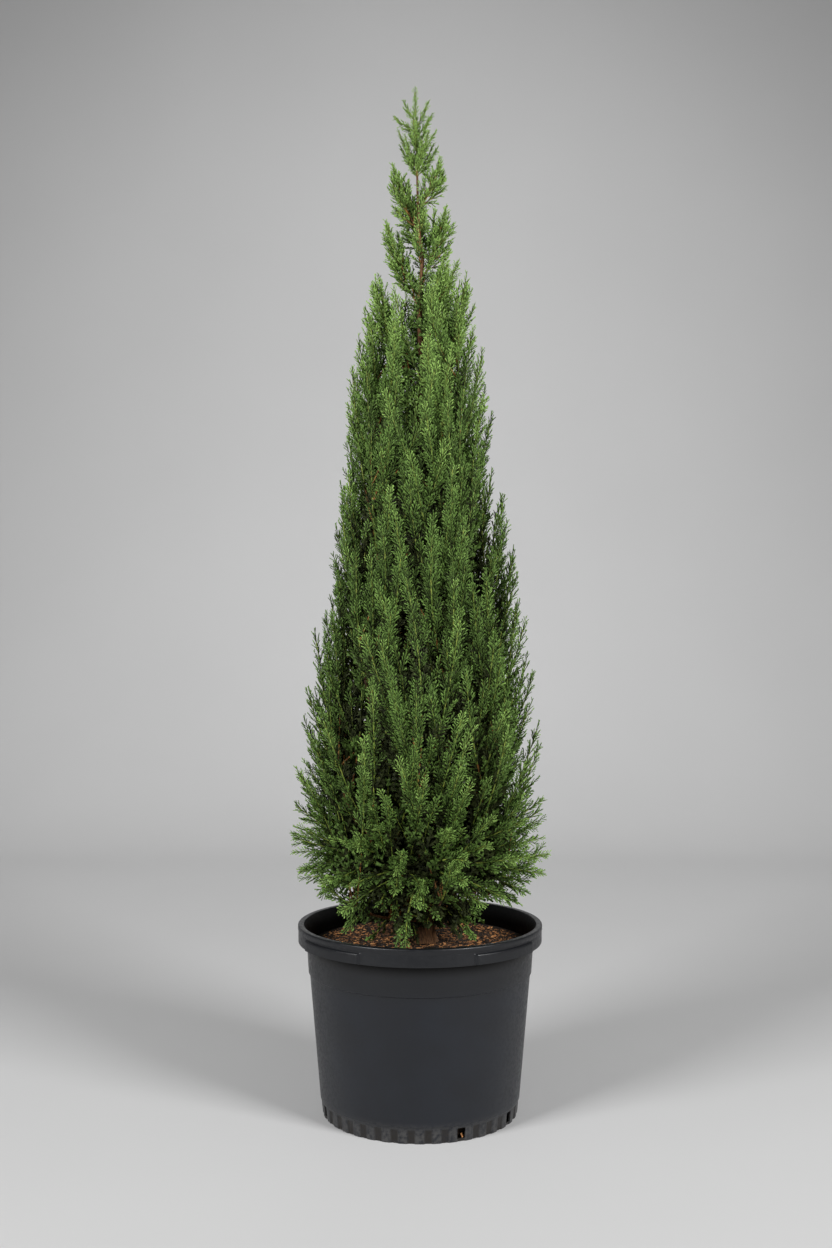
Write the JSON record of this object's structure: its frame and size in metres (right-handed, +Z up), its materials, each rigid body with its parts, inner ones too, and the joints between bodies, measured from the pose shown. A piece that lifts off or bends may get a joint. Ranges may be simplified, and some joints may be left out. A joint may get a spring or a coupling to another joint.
{
  "type": "potted cone juniper",
  "caption": "Slim cone-shaped juniper standing in a round black plastic nursery pot filled with bark potting mix.",
  "frame": {"origin": "middle of the pot's flat underside", "axes": "+Z up along the trunk, -Y towards the front of the plant as pictured, +X to its right"},
  "size_m": [0.4433, 0.4521, 1.798],
  "materials": {
    "pot_plastic": "satin moulded polypropylene, lightly scuffed",
    "potting_mix": "loose bark chips and peat",
    "bark": "thin orange-brown bark that peels in strips",
    "foliage": "fine scale leaves, mid green with lighter tips"
  },
  "bodies": {
    "root": {"bough_low_1": "bark", "bough_low_2": "bark", "bough_low_3": "bark", "bough_low_4": "bark", "bough_low_5": "bark", "bough_low_6": "bark", "bough_middle_1": "bark", "bough_middle_2": "bark", "bough_middle_3": "bark", "bough_middle_4": "bark", "bough_middle_5": "bark", "bough_shoulder_1": "bark", "bough_shoulder_2": "bark", "bough_shoulder_3": "bark", "bough_skirt_1": "bark", "bough_skirt_2": "bark", "bough_skirt_3": "bark", "bough_skirt_4": "bark", "bough_skirt_5": "bark", "bough_upper_1": "bark", "bough_upper_2": "bark", "bough_upper_3": "bark", "bough_upper_4": "bark", "foliage_crest_left": "foliage", "foliage_crest_right": "foliage", "foliage_leader": "foliage", "foliage_low_1": "foliage", "foliage_low_2": "foliage", "foliage_low_3": "foliage", "foliage_low_4": "foliage", "foliage_low_5": "foliage", "foliage_low_6": "foliage", "foliage_middle_1": "foliage", "foliage_middle_2": "foliage", "foliage_middle_3": "foliage", "foliage_middle_4": "foliage", "foliage_middle_5": "foliage", "foliage_shoulder_1": "foliage", "foliage_shoulder_2": "foliage", "foliage_shoulder_3": "foliage", "foliage_skirt_1": "foliage", "foliage_skirt_2": "foliage", "foliage_skirt_3": "foliage", "foliage_skirt_4": "foliage", "foliage_skirt_5": "foliage", "foliage_top_back": "foliage", "foliage_top_back_low": "foliage", "foliage_top_front": "foliage", "foliage_top_left": "foliage", "foliage_top_left_low": "foliage", "foliage_top_right": "foliage", "foliage_top_right_low": "foliage", "foliage_upper_1": "foliage", "foliage_upper_2": "foliage", "foliage_upper_3": "foliage", "foliage_upper_4": "foliage", "pot": "pot_plastic", "potting_mix": "potting_mix", "trunk": "bark"}
  },
  "joints": []
}
